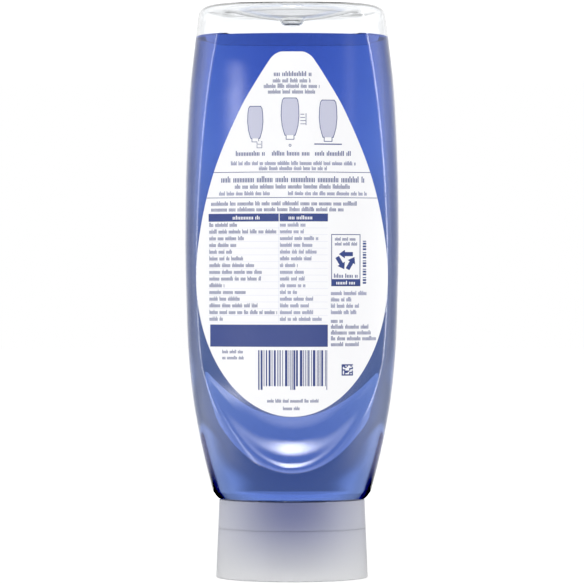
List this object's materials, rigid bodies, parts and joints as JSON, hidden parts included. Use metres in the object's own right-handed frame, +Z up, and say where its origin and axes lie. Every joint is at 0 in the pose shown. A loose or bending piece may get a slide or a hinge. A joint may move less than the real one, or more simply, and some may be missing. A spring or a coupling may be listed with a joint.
{
  "type": "dish soap bottle",
  "caption": "Inverted oval squeeze bottle of dish soap that stands on its valve cap, with egg-shaped labels, a pushed-up base and a two-start screw cap.",
  "frame": {"origin": "on the table, under the middle of the cap's foot", "axes": "+Z up, from the cap to the pushed-up base; +Y towards the front label, across the bottle's thin way; +X along its width"},
  "size_m": [0.0893, 0.0612, 0.238],
  "materials": {
    "clear_pet": "clear glossy PET",
    "blue_liquid": "clear deep blue liquid",
    "back_label_film": "white plastic film with dark blue print",
    "front_label_film": "white plastic film with blue print",
    "frosted_cap": "translucent frosted polypropylene",
    "silicone": "translucent silicone",
    "retainer_plastic": "natural polypropylene",
    "seal_foil": "brushed foil laminate"
  },
  "bodies": {
    "closure": {"cap": "frosted_cap", "peel_seal": "seal_foil"},
    "closure_core": {"valve": "silicone", "valve_retainer": "retainer_plastic"},
    "bottle_body": {"bottle": "clear_pet", "dish_liquid": "blue_liquid", "back_label": "back_label_film", "front_label": "front_label_film"}
  },
  "joints": [
    {"name": "cap_turn", "type": "hinge", "parent": "closure", "child": "closure_core", "pos_m": [0, 0, 0.0075], "axis": [0, 0, 1], "range_deg": [0, 720]},
    {"name": "bottle_lift", "type": "slide", "parent": "closure_core", "child": "bottle_body", "axis": [0, 0, 1], "range_m": [0, 0.012]}
  ],
  "couplings": [
    {"joint": "bottle_lift", "follows": "cap_turn", "m_per_rad": 0.00095493}
  ]
}
